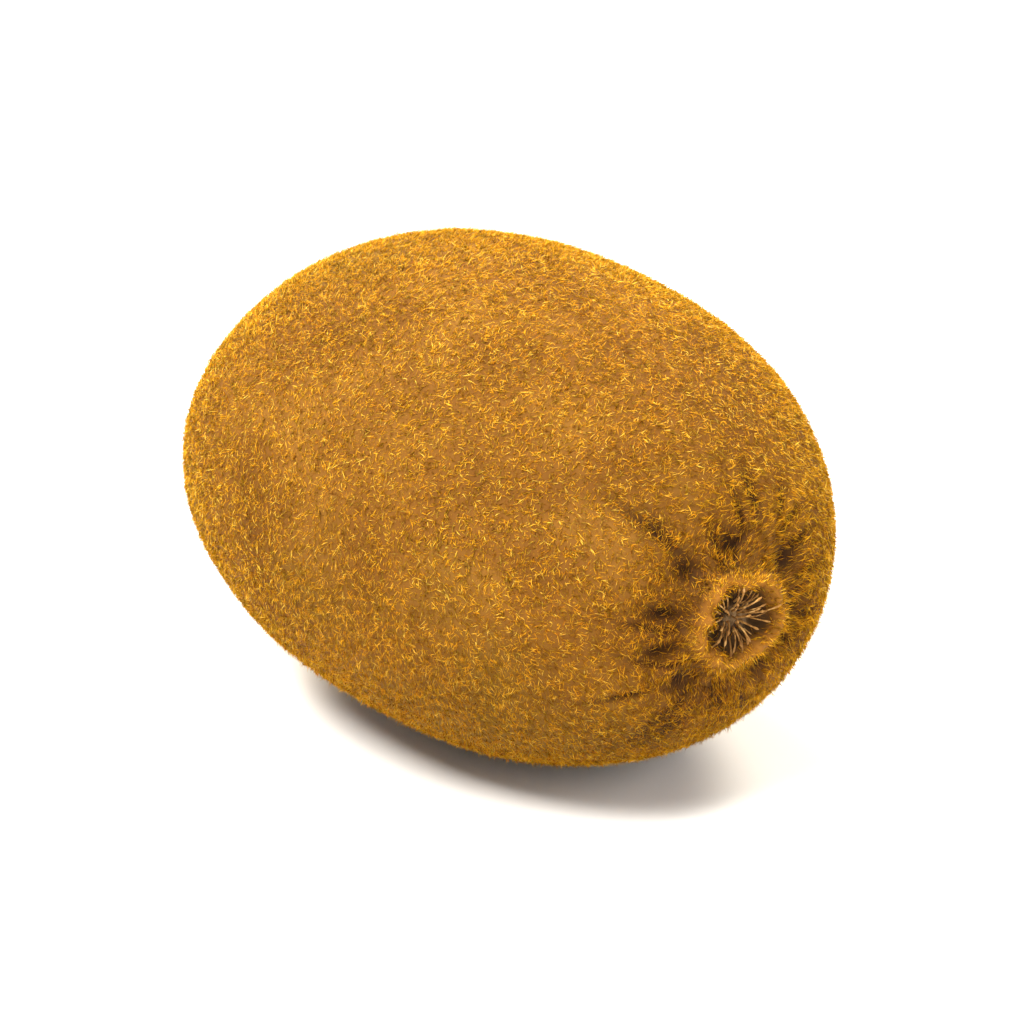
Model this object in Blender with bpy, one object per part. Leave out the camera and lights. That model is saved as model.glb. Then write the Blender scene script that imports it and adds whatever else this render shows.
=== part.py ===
"""A whole kiwi fruit lying on its side, as one solid.

The stem end is at -X and the blossom end at +X. The fruit rests on a small flat spot at Z = 0.
"""

import math
import random

import bmesh
import bpy
from mathutils import Matrix, Vector
from mathutils.bvhtree import BVHTree

# Outside of the fruit, in metres
LENGTH = 0.070  # stem end to the crest of the blossom ring, along X
WIDTH = 0.053  # along Y
HEIGHT = 0.0455  # flat spot to top, along Z
FLAT_DEPTH = 0.0006  # how far the underside has settled flat
STEM_BLUNTNESS = 2.30  # exponent of the superellipse at the stem end, 2 is a plain ellipse
BLOSSOM_BLUNTNESS = 2.21
TAPER = 0.022  # share by which the stem half is fuller, and the blossom half slimmer
SIDE_WAVES = ((2, 0.6, 0.003), (3, 3.76, 0.022), (5, 4.0, 0.005))  # turns, phase, share of the radius

# Blossom end: a raised puckered ring in a shallow dip, folded skin round it, a woody button inside
BLOSSOM_DIP = 0.0010
BLOSSOM_DIP_RADIUS = 0.0095
RING_RADIUS = 0.0044
RING_HEIGHT = 0.0014
RING_WIDTH = 0.0012
RING_LOBES = ((3, 0.6, 0.05), (5, 2.4, 0.06))  # turns, phase, share of the radius
RING_BUMPS = 0.18  # share of its height that the ring gains and loses with each fold
FOLDS = 9
FOLD_DRIFT = ((2, -0.67, 0.22), (3, 0.43, 0.10))  # makes some folds broader than others
FOLD_RADIUS = 0.0075
FOLD_WIDTH = 0.0019
FOLD_DEPTH = 0.00065  # how far a fold sinks and the ridge beside it rises
FOLD_SINK = 0.0004  # how far the folded skin lies below the rest
CUP_DEPTH = 0.0009
CUP_RADIUS = 0.0028
BUTTON_HEIGHT = 0.0006
BUTTON_RADIUS = 0.0016
BUTTON_EDGE = 0.0005

# Dried styles on the button
STYLES = 14
STYLE_ROOT = 0.0012  # how deep a style's root is sunk
STYLE_SPREAD = 0.0017  # radius of the patch that they stand on
STYLE_LENGTHS = (0.0009, 0.0020)
STYLE_THICKNESS = 0.0005
STYLE_LEAN = 30.0  # degrees outwards at the rim of the patch
STYLE_SCATTER = 12.0  # degrees by which that may differ
STYLE_BEND = (0.4, 1.3)  # share of the lean at a style's root and at its tip
STYLE_PROFILE = ((0.0, 1.0), (0.5, 1.0), (0.8, 0.8), (1.0, 0.5))  # share of length, share of thickness
GOLDEN_ANGLE = 137.5  # degrees from one style to the next

# Stem end: a round woody stalk scar in a dip, with creases running away from it
STEM_DIP = 0.0018
STEM_DIP_RADIUS = 0.0075
SCAR_RADIUS = 0.0027
SCAR_HEIGHT = 0.0014
SCAR_EDGE = 0.0006
SCAR_HOLLOW = 0.0005
SCAR_HOLLOW_RADIUS = 0.00135
CREASES = 7
CREASE_PHASE = 1.3
CREASE_RADIUS = 0.0068
CREASE_WIDTH = 0.0024
CREASE_DEPTH = 0.0003  # how far a crease sinks and the ridge beside it rises
CREASE_SINK = 0.00015  # how far the creased skin lies below the rest

# Dried sepals round the stalk scar
SEPALS = 5
SEPAL_PHASE = 0.3  # share of the space between two sepals
SEPAL_SHIFT = 0.08  # radians that a sepal may stand to either side of its place
SEPAL_SWING = 0.12  # radians that its tip may point to either side
SEPAL_INNER = 0.0023  # where a sepal's root starts, from the axis
SEPAL_LENGTHS = (0.0025, 0.0050)
SEPAL_WIDTHS = (0.0024, 0.0037)
SEPAL_PROFILE = ((0.0, 0.6), (0.3, 1.0), (0.6, 0.9), (0.85, 0.55), (1.0, 0.2))  # share of length, of width
SEPAL_THICKNESS = 0.0004
SEPAL_LIFTS = (0.0003, 0.0008)  # how much higher than its root the tip stands
SEPAL_SUNK = 0.0006  # how deep its underside lies in the skin
SEPAL_ARCH = 0.00015  # how much lower than its middle its edges lie

# Fineness of the solid
SIDES = 72
POLE_RADIUS = 0.0010  # the innermost ring of points
END_RADIUS = 0.0110  # the closely spaced rings reach this far from the axis
END_RINGS = 16
BELLY_RINGS = 16
SEAM_MERGE = 0.00002  # points of a joined seam that are closer than this become one
SHARP_ANGLE = 50.0  # degrees between faces from which their edge is drawn sharp

SEED = 12
SKIN_COLOUR = (0.402, 0.203, 0.057, 1.0)
SKIN_ROUGHNESS = 0.85


def clear_scene():
    """Removes every object that the file starts with."""
    for found in list(bpy.data.objects):
        bpy.data.objects.remove(found)


def hump(distance, centre, width):
    """A rounded ridge of height 1 at centre, falling to a third at width from it."""
    return math.exp(-(((distance - centre) / width) ** 2))


def step_down(distance, edge, softness):
    """1 inside the edge, 0 outside it, with a soft shoulder between."""
    return 0.5 - 0.5 * math.tanh((distance - edge) / softness)


def waves(turn, terms):
    """Sum of cosines round the axis: each term is its number of waves, its phase and its size."""
    return sum(size * math.cos(count * turn + phase) for count, phase, size in terms)


def uneven(turn):
    """The angle round the axis, stretched here and squeezed there, so that folds differ in width."""
    return turn + waves(turn, FOLD_DRIFT)


def blossom_relief(radius, turn):
    """Height of the blossom end's surface above the plain body, outwards along the axis."""
    fold = math.cos(FOLDS * uneven(turn))
    crest = RING_RADIUS * (1 + waves(turn, RING_LOBES))
    ring = RING_HEIGHT * (1 + RING_BUMPS * fold) * hump(radius, crest, RING_WIDTH)
    folds = -(FOLD_SINK + FOLD_DEPTH * fold) * hump(radius, FOLD_RADIUS, FOLD_WIDTH)
    cup = -CUP_DEPTH * hump(radius, 0, CUP_RADIUS)
    button = BUTTON_HEIGHT * step_down(radius, BUTTON_RADIUS, BUTTON_EDGE)
    return ring + folds + cup + button - BLOSSOM_DIP * hump(radius, 0, BLOSSOM_DIP_RADIUS)


def stem_relief(radius, turn):
    """Height of the stem end's surface above the plain body, outwards along the axis."""
    scar = SCAR_HEIGHT * step_down(radius, SCAR_RADIUS, SCAR_EDGE)
    hollow = -SCAR_HOLLOW * hump(radius, 0, SCAR_HOLLOW_RADIUS)
    crease = math.cos(CREASES * uneven(turn + CREASE_PHASE))
    creases = -(CREASE_SINK + CREASE_DEPTH * crease) * hump(radius, CREASE_RADIUS, CREASE_WIDTH)
    return scar + hollow + creases - STEM_DIP * hump(radius, 0, STEM_DIP_RADIUS)


def surface_point(share, turn, end):
    """A point of the skin at a share of the full radius and an angle round the axis.

    The end is -1 on the stem half and +1 on the blossom half.
    """
    bluntness = BLOSSOM_BLUNTNESS if end > 0 else STEM_BLUNTNESS
    along = end * LENGTH / 2 * max(0.0, 1 - share**bluntness) ** (1 / bluntness)
    mean_radius = (WIDTH + HEIGHT) / 4
    relief = blossom_relief if end > 0 else stem_relief
    fullness = share * (1 + share * waves(turn, SIDE_WAVES) - TAPER * 2 * along / LENGTH)
    return Vector(
        (
            along + end * relief(share * mean_radius, turn),
            fullness * WIDTH / 2 * math.cos(turn),
            fullness * (HEIGHT + FLAT_DEPTH) / 2 * math.sin(turn),
        )
    )


def end_shares():
    """Shares of the full radius at which one end's rings stand, from the pole outwards to the widest part."""
    mean_radius = (WIDTH + HEIGHT) / 4
    step = (END_RADIUS - POLE_RADIUS) / (END_RINGS - 1)
    close = [(POLE_RADIUS + step * ring) / mean_radius for ring in range(END_RINGS)]
    first = math.asin(close[-1])
    half_belly = BELLY_RINGS // 2
    return close + [
        math.sin(first + (math.pi / 2 - first) * (ring + 1) / half_belly) for ring in range(half_belly)
    ]


def skin_mesh():
    """The closed skin as rings of points from the stem pole to the blossom pole."""
    shares = end_shares()
    stations = [(share, -1) for share in shares] + [(share, 1) for share in reversed(shares[:-1])]
    mesh = bmesh.new()
    rings = []
    for share, end in stations:
        turns = [2 * math.pi * side / SIDES for side in range(SIDES)]
        rings.append([mesh.verts.new(surface_point(share, turn, end)) for turn in turns])
    for near, far in zip(rings, rings[1:]):
        for side in range(SIDES):
            after = (side + 1) % SIDES
            mesh.faces.new((near[side], far[side], far[after], near[after]))
    for ring, end in ((rings[0], -1), (rings[-1], 1)):
        pole = mesh.verts.new(surface_point(0.0, 0.0, end))
        for side in range(SIDES):
            mesh.faces.new((ring[side], ring[(side + 1) % SIDES], pole))
    bmesh.ops.recalc_face_normals(mesh, faces=mesh.faces)
    return mesh


def fit_to_size(mesh):
    """Scales the body to LENGTH, WIDTH and HEIGHT plus the flat spot's depth, centred on the origin."""
    corners = [vert.co for vert in mesh.verts]
    low = Vector(min(corner[axis] for corner in corners) for axis in range(3))
    high = Vector(max(corner[axis] for corner in corners) for axis in range(3))
    wanted = (LENGTH, WIDTH, HEIGHT + FLAT_DEPTH)
    for vert in mesh.verts:
        for axis in range(3):
            middle = (low[axis] + high[axis]) / 2
            vert.co[axis] = (vert.co[axis] - middle) * wanted[axis] / (high[axis] - low[axis])


def between(pair, share):
    """The value that lies at this share of the way from the pair's first to its second."""
    return pair[0] + (pair[1] - pair[0]) * share


def new_object(name, mesh, collection):
    """Puts a bmesh into a new object of the given collection."""
    data = bpy.data.meshes.new(name)
    mesh.to_mesh(data)
    mesh.free()
    made = bpy.data.objects.new(name, data)
    collection.objects.link(made)
    return made


def ring_tube(name, rings, collection):
    """A closed solid through rings that all have the same number of points."""
    mesh = bmesh.new()
    loops = [[mesh.verts.new(point) for point in ring] for ring in rings]
    count = len(loops[0])
    for near, far in zip(loops, loops[1:]):
        for side in range(count):
            after = (side + 1) % count
            mesh.faces.new((near[side], near[after], far[after], far[side]))
    mesh.faces.new(loops[0])
    mesh.faces.new(loops[-1])
    bmesh.ops.recalc_face_normals(mesh, faces=mesh.faces)
    return new_object(name, mesh, collection)


def add_styles(collection, draw, button_top):
    """Short dried styles that stand on the blossom button and lean outwards."""
    for number in range(STYLES):
        turn = math.radians(GOLDEN_ANGLE) * number
        out = STYLE_SPREAD * math.sqrt((number + 0.5) / STYLES)
        lean = math.radians(STYLE_LEAN * out / STYLE_SPREAD + draw.uniform(-STYLE_SCATTER, STYLE_SCATTER))
        length = draw.uniform(*STYLE_LENGTHS)
        outward = Vector((0, math.cos(turn), math.sin(turn)))
        sideways = Vector((0, -math.sin(turn), math.cos(turn)))
        foot = Vector((button_top - STYLE_ROOT, 0, 0)) + outward * out
        rings = []
        for step, size in STYLE_PROFILE:
            bent = lean * between(STYLE_BEND, step)
            along = Vector((math.cos(bent), 0, 0)) + outward * math.sin(bent)
            across = along.cross(sideways)
            centre = foot + along * (STYLE_ROOT + length) * step
            half = STYLE_THICKNESS * size / 2
            corners = ((1, 1), (-1, 1), (-1, -1), (1, -1))
            rings.append([centre + (sideways * left + across * up) * half for left, up in corners])
        ring_tube(f"style_{number}", rings, collection)


def add_sepals(collection, draw, skin_at):
    """Dried sepals round the stalk scar: low flaps whose roots are sunk under the scar's edge."""
    for number in range(SEPALS):
        middle = 2 * math.pi * (number + SEPAL_PHASE) / SEPALS + draw.uniform(-SEPAL_SHIFT, SEPAL_SHIFT)
        length = draw.uniform(*SEPAL_LENGTHS)
        fullness = draw.uniform(*SEPAL_WIDTHS)
        curl = draw.uniform(*SEPAL_LIFTS)
        swing = draw.uniform(-SEPAL_SWING, SEPAL_SWING)
        rings = []
        for step, width in SEPAL_PROFILE:
            radius = SEPAL_INNER + length * step
            half_angle = fullness * width / 2 / radius
            height = SEPAL_THICKNESS + curl * step**2
            lower, upper = [], []
            for part in (-1, 0, 1):
                turn = middle + swing * step + part * half_angle
                ground = skin_at(radius, turn)
                lower.append(ground + Vector((SEPAL_SUNK, 0, 0)))
                upper.append(ground - Vector((height - SEPAL_ARCH * abs(part), 0, 0)))
            rings.append(lower + upper[::-1])
        ring_tube(f"sepal_{number}", rings, collection)


def skin_finder(mesh):
    """Returns a function that gives the point of the stem end's skin at a radius and an angle."""
    tree = BVHTree.FromBMesh(mesh)

    def skin_at(radius, turn):
        start = Vector((-LENGTH, radius * math.cos(turn), radius * math.sin(turn)))
        return tree.ray_cast(start, Vector((1, 0, 0)))[0]

    return skin_at


def clean_seams(body):
    """Merges the hair-thin faces that a join leaves where two surfaces nearly meet."""
    mesh = bmesh.new()
    mesh.from_mesh(body.data)
    bmesh.ops.triangulate(mesh, faces=mesh.faces)
    bmesh.ops.dissolve_degenerate(mesh, dist=SEAM_MERGE, edges=mesh.edges)
    bmesh.ops.remove_doubles(mesh, verts=mesh.verts, dist=SEAM_MERGE)
    mesh.to_mesh(body.data)
    mesh.free()


def fuse(body, collection):
    """Joins every object of the collection to the body, and removes them."""
    join = body.modifiers.new("join", "BOOLEAN")
    join.operation = "UNION"
    join.solver = "EXACT"
    join.operand_type = "COLLECTION"
    join.collection = collection
    joined = bpy.data.meshes.new_from_object(body.evaluated_get(bpy.context.evaluated_depsgraph_get()))
    body.modifiers.clear()
    body.data = joined
    for used in list(collection.objects):
        bpy.data.objects.remove(used)
    bpy.data.collections.remove(collection)
    clean_seams(body)


def cut_flat_spot(body):
    """Cuts the underside flat, and sets the fruit down on it with the middle of its box over the origin."""
    mesh = bmesh.new()
    mesh.from_mesh(body.data)
    lowest = -(HEIGHT + FLAT_DEPTH) / 2
    everything = list(mesh.verts) + list(mesh.edges) + list(mesh.faces)
    cut = bmesh.ops.bisect_plane(
        mesh,
        geom=everything,
        plane_co=(0, 0, lowest + FLAT_DEPTH),
        plane_no=(0, 0, -1),
        clear_outer=True,
    )
    rim = [found for found in cut["geom_cut"] if isinstance(found, bmesh.types.BMEdge)]
    bmesh.ops.edgeloop_fill(mesh, edges=rim)
    bmesh.ops.recalc_face_normals(mesh, faces=mesh.faces)
    along = [vert.co.x for vert in mesh.verts]
    across = [vert.co.y for vert in mesh.verts]
    middle = Vector(((min(along) + max(along)) / 2, (min(across) + max(across)) / 2, lowest + FLAT_DEPTH))
    bmesh.ops.transform(mesh, matrix=Matrix.Translation(-middle), verts=mesh.verts)
    mesh.to_mesh(body.data)
    mesh.free()


def skin_material():
    """Dull golden-brown skin."""
    made = bpy.data.materials.new("fuzzy_skin")
    made.use_nodes = True
    shader = made.node_tree.nodes["Principled BSDF"]
    shader.inputs["Base Color"].default_value = SKIN_COLOUR
    shader.inputs["Roughness"].default_value = SKIN_ROUGHNESS
    shader.inputs["Metallic"].default_value = 0.0
    return made


def make_kiwi():
    """Builds the fruit as one closed solid."""
    draw = random.Random(SEED)
    mesh = skin_mesh()
    fit_to_size(mesh)
    skin_at = skin_finder(mesh)
    button_top = max(vert.co.x for vert in mesh.verts if vert.co.yz.length < BUTTON_RADIUS)
    body = new_object("kiwi_fruit", mesh, bpy.context.scene.collection)
    dried = bpy.data.collections.new("dried_remains")
    bpy.context.scene.collection.children.link(dried)
    add_styles(dried, draw, button_top)
    add_sepals(dried, draw, skin_at)
    fuse(body, dried)
    cut_flat_spot(body)
    body.data.materials.clear()
    body.data.materials.append(skin_material())
    body.data.shade_smooth()
    body.data.set_sharp_from_angle(angle=math.radians(SHARP_ANGLE))


clear_scene()
make_kiwi()
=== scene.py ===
import math
import random

import bpy
import numpy as np
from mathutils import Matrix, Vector


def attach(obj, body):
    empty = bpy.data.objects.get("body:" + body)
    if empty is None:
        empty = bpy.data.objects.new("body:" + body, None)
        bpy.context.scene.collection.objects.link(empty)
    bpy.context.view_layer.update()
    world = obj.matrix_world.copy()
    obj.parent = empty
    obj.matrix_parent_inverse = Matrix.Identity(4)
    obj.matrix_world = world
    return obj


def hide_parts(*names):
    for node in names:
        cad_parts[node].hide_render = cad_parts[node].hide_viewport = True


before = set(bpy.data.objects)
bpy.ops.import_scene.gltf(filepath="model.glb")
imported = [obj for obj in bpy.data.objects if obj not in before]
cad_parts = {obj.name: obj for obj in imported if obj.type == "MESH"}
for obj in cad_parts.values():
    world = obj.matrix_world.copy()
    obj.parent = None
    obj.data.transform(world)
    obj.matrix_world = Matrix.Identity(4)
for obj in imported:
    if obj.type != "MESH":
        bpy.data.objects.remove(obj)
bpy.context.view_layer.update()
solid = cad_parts["kiwi_fruit"]
print("frame loaded")


# Small helpers

def deselectAll():
    bpy.ops.object.select_all(action="DESELECT")


def pick(obj):
    deselectAll()
    obj.select_set(True)
    bpy.context.view_layer.objects.active = obj


def applyPlace(obj):
    pick(obj)
    bpy.ops.object.transform_apply(location=True, rotation=True, scale=True)


def applyModifiers(obj):
    pick(obj)
    for modifier in list(obj.modifiers):
        bpy.ops.object.modifier_apply(modifier=modifier.name)


def readPoints(obj):
    points = np.empty(len(obj.data.vertices) * 3, np.float32)
    obj.data.vertices.foreach_get("co", points)
    return points.reshape(-1, 3).astype(float)


def writePoints(obj, points):
    obj.data.vertices.foreach_set("co", points.astype(np.float32).ravel())
    obj.data.update()


def paintPoints(obj, name, values):  # a number on each point, which materials read by this name
    attribute = obj.data.attributes.new(name, "FLOAT", "POINT")
    attribute.data.foreach_set("value", values.astype(np.float32))


def hump(distance, centre, width):  # a rounded ridge, 1 high
    return np.exp(-(((distance - centre) / width) ** 2))


def stepDown(distance, edge, softness):  # 1 inside the edge, 0 outside it
    return 0.5 - 0.5 * np.tanh((distance - edge) / softness)


def fadeOut(distance, reach):  # 1 in the middle, then a soft fall to 0 about the reach
    return np.exp(-((distance / reach) ** 4))


def waves(turn, terms):  # each term is its number of waves, its phase and its size
    return sum(size * np.cos(count * turn + phase) for count, phase, size in terms)


def unit(rows):
    return rows / np.maximum(np.linalg.norm(rows, axis=-1, keepdims=True), 1e-12)


def finishPiece(obj, material):
    obj.data.materials.clear()
    obj.data.materials.append(material)
    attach(obj, "root")
    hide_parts("kiwi_fruit")
    return obj


# Shape of the fruit, in metres, as the solid has it

fruit = {
    "length": 0.070,
    "width": 0.053,
    "height": 0.0455,
    "flatDepth": 0.0006,
    "stemBluntness": 2.30,
    "blossomBluntness": 2.21,
    "taper": 0.022,
    "sideWaves": ((2, 0.6, 0.003), (3, 3.76, 0.022), (5, 4.0, 0.005)),
    "foldDrift": ((2, -0.67, 0.22), (3, 0.43, 0.10)),
    "segments": 400,
    "rings": 236,
    "endShare": 0.46,  # the closely spaced rings reach this share of the full radius
    "endRings": 0.36,  # share of one half's rings that stand there
}

blossomEnd = {
    "dip": 0.0010,
    "dipRadius": 0.0095,
    "ringRadius": 0.0044,
    "ringHeight": 0.0014,
    "ringWidth": 0.0012,
    "ringLobes": ((3, 0.6, 0.05), (5, 2.4, 0.06)),
    "ringBumps": 0.18,
    "folds": 9,
    "foldRadius": 0.0075,
    "foldWidth": 0.0019,
    "foldDepth": 0.00065,
    "foldSink": 0.0004,
    "cupDepth": 0.0009,
    "cupRadius": 0.0028,
    "buttonHeight": 0.0006,
    "buttonRadius": 0.0016,
    "buttonEdge": 0.0005,
}

stemEnd = {
    "dip": 0.0018,
    "dipRadius": 0.0075,
    "scarRadius": 0.0027,
    "scarHeight": 0.0014,
    "scarEdge": 0.0006,
    "scarHollow": 0.0005,
    "scarHollowRadius": 0.00135,
    "creases": 7,
    "creasePhase": 1.3,
    "creaseRadius": 0.0068,
    "creaseWidth": 0.0024,
    "creaseDepth": 0.0003,
    "creaseSink": 0.00015,
}


def uneven(turn):  # stretches the folds here and squeezes them there
    return turn + waves(turn, fruit["foldDrift"])


def blossomFold(turn):
    return np.cos(blossomEnd["folds"] * uneven(turn))


def stemCrease(turn):
    return np.cos(stemEnd["creases"] * uneven(turn + stemEnd["creasePhase"]))


def blossomRelief(radius, turn):
    it = blossomEnd
    fold = blossomFold(turn)
    crest = it["ringRadius"] * (1 + waves(turn, it["ringLobes"]))
    ring = it["ringHeight"] * (1 + it["ringBumps"] * fold) * hump(radius, crest, it["ringWidth"])
    folds = -(it["foldSink"] + it["foldDepth"] * fold) * hump(radius, it["foldRadius"], it["foldWidth"])
    cup = -it["cupDepth"] * hump(radius, 0, it["cupRadius"])
    button = it["buttonHeight"] * stepDown(radius, it["buttonRadius"], it["buttonEdge"])
    return ring + folds + cup + button - it["dip"] * hump(radius, 0, it["dipRadius"])


def stemRelief(radius, turn):
    it = stemEnd
    scar = it["scarHeight"] * stepDown(radius, it["scarRadius"], it["scarEdge"])
    hollow = -it["scarHollow"] * hump(radius, 0, it["scarHollowRadius"])
    sunk = it["creaseSink"] + it["creaseDepth"] * stemCrease(turn)
    creases = -sunk * hump(radius, it["creaseRadius"], it["creaseWidth"])
    return scar + hollow + creases - it["dip"] * hump(radius, 0, it["dipRadius"])


def fruitPoints(share, turn, side):  # side is -1 on the stem half and 1 on the blossom half
    bluntness = np.where(side > 0, fruit["blossomBluntness"], fruit["stemBluntness"])
    along = side * fruit["length"] / 2 * np.maximum(0, 1 - share**bluntness) ** (1 / bluntness)
    radius = share * (fruit["width"] + fruit["height"]) / 4
    relief = np.where(side > 0, blossomRelief(radius, turn), stemRelief(radius, turn))
    slimmer = fruit["taper"] * 2 * along / fruit["length"]
    fullness = share * (1 + share * waves(turn, fruit["sideWaves"]) - slimmer)
    across = fullness * fruit["width"] / 2 * np.cos(turn)
    up = fullness * (fruit["height"] + fruit["flatDepth"]) / 2 * np.sin(turn)
    return np.stack((along + side * relief, across, up), axis=1), radius


def ringShare(half):  # half runs from 0 at a pole to 1 at the widest part
    near = half / fruit["endRings"] * fruit["endShare"]
    first = math.asin(fruit["endShare"])
    beyond = (half - fruit["endRings"]) / (1 - fruit["endRings"])
    return np.where(half < fruit["endRings"], near, np.sin(first + (math.pi / 2 - first) * beyond))


# Skin: a sphere with its poles along X, moved to the fruit's shape, then given its fine relief

skinFinish = {
    "leastWeight": 0.01,  # points with less than this aren't crumpled
    "dents": 0.00032,  # height of the soft unevenness
    "dentSize": 0.012,
    "lumps": 0.00016,
    "lumpSize": 0.0020,
    "crumple": 0.00042,  # height of the knobbly skin at the two ends
    "crumpleSize": 0.0013,
    "crumpleReach": 0.0090,
    "cupRidges": 17,  # fine woody ridges that run out from the blossom's middle
    "cupRidgeHeight": 0.00012,
    "cupRidgeRadius": 0.0022,
    "cupRidgeWidth": 0.0011,
    "cupRidgePhase": 0.7,
    "probes": 12,  # places at each end where the skin is set against the solid
    "probeRadius": 0.012,
}

grooves = {  # fine creases that run out from the two ends
    "count": 46,
    "stemEvery": 3,  # one in so many is at the stem end
    "depth": 0.00034,
    "width": 0.055,  # in radians
    "widths": (0.7, 1.5),  # shares of it, drawn for each groove
    "radius": 0.0082,
    "reaches": (0.75, 1.45),
    "length": 0.0028,
    "lengths": (0.6, 1.4),
    "bend": 0.5,
    "seed": 5,
}

masks = {  # where the skin's colours change
    "endReach": 0.0105,
    "blossomPit": 0.0016,
    "stemPit": 0.0020,
    "cupInset": 0.0011,  # between the ring's crest and the cup's edge
    "cupEdge": 0.0003,
    "ringWidth": 0.0009,
    "buttonRadius": 0.0017,
    "buttonEdge": 0.0003,
}


def addGrooves(points, side, turn):  # moves the points, and gives how deep in a groove each one lies
    it = grooves
    draw = random.Random(it["seed"])
    radius = np.hypot(points[:, 1], points[:, 2])
    depth = np.zeros(len(points))
    for number in range(it["count"]):
        middle = draw.uniform(0, 2 * math.pi)
        bend = draw.uniform(-it["bend"], it["bend"])
        reach = it["radius"] * draw.uniform(*it["reaches"])
        which = -1 if number % it["stemEvery"] == 0 else 1
        away = turn - middle - bend * (radius - reach) / reach
        away = (away + math.pi) % (2 * math.pi) - math.pi
        width = it["width"] * draw.uniform(*it["widths"])
        run = hump(radius, reach, it["length"] * draw.uniform(*it["lengths"]))
        depth = np.maximum(depth, np.where(side == which, run * hump(away, 0, width), 0))
    points[:, 0] -= side * it["depth"] * depth
    return depth


def addDisplace(obj, name, size, height, group=""):
    texture = bpy.data.textures.new(name, "CLOUDS")
    texture.noise_scale = size
    texture.noise_depth = 2
    modifier = obj.modifiers.new(name, "DISPLACE")
    modifier.texture = texture
    modifier.texture_coords = "LOCAL"
    modifier.strength = height
    modifier.mid_level = 0.5
    modifier.vertex_group = group


def addGroup(obj, name, weights):
    group = obj.vertex_groups.new(name=name)
    for index in np.nonzero(weights > skinFinish["leastWeight"])[0]:
        group.add([int(index)], float(weights[index]), "REPLACE")


def placeLikeSolid(obj):  # slides the skin until both its ends lie on the solid's
    gaps = []
    for end in (-1, 1):
        for step in range(skinFinish["probes"]):
            turn = 2 * math.pi * step / skinFinish["probes"]
            y = skinFinish["probeRadius"] * math.cos(turn)
            z = fruit["height"] / 2 + skinFinish["probeRadius"] * math.sin(turn)
            start = Vector((end * fruit["length"], y, z))
            ahead = Vector((-end, 0, 0))
            gaps.append(solid.ray_cast(start, ahead)[1].x - obj.ray_cast(start, ahead)[1].x)
    points = readPoints(obj)
    points[:, 0] += np.mean(gaps)
    points[:, 2] = np.maximum(points[:, 2], 0.0)  # the underside is pressed flat
    writePoints(obj, points)
    print("skin moved along X by", round(float(np.mean(gaps)) * 1000, 3), "mm")


def sortFaces(obj):  # a sphere's faces come in a chance order, and the fuzz is drawn from their order
    old = obj.data
    spots = [tuple(spot.vector) for spot in old.uv_layers[0].uv]
    faces = []
    for face in old.polygons:
        corners = [(point, spots[loop]) for point, loop in zip(face.vertices, face.loop_indices)]
        start = corners.index(min(corners))
        faces.append(corners[start:] + corners[:start])
    faces.sort()
    mesh = bpy.data.meshes.new(obj.name)
    places = [point.co for point in old.vertices]
    mesh.from_pydata(places, [], [[point for point, _ in face] for face in faces])
    layer = mesh.uv_layers.new(name="OFBake")  # the sphere's own map, one band for each ring
    layer.uv.foreach_set("vector", [value for face in faces for _, spot in face for value in spot])
    obj.data = mesh
    bpy.data.meshes.remove(old)


def paintMasks(skin, radius, turn, atBlossom):
    crest = blossomEnd["ringRadius"] * (1 + waves(turn, blossomEnd["ringLobes"]))
    folds, creases = np.clip(blossomFold(turn), 0, 1), np.clip(stemCrease(turn), 0, 1)
    blossomPits = folds * hump(radius, blossomEnd["foldRadius"], masks["blossomPit"])
    stemPits = creases * hump(radius, stemEnd["creaseRadius"], masks["stemPit"])
    cup = stepDown(radius, crest - masks["cupInset"], masks["cupEdge"])
    button = stepDown(radius, masks["buttonRadius"], masks["buttonEdge"])
    paintPoints(skin, "nearEnd", fadeOut(radius, masks["endReach"]))
    # where the pits lie: the fuzz thins there, and the skin is darkened there with painted shade
    paintPoints(skin, "pit", np.where(atBlossom, blossomPits, stemPits))
    paintPoints(skin, "cup", np.where(atBlossom, cup, 0))
    paintPoints(skin, "ring", np.where(atBlossom, hump(radius, crest, masks["ringWidth"]), 0))
    paintPoints(skin, "button", np.where(atBlossom, button, 0))


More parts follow.
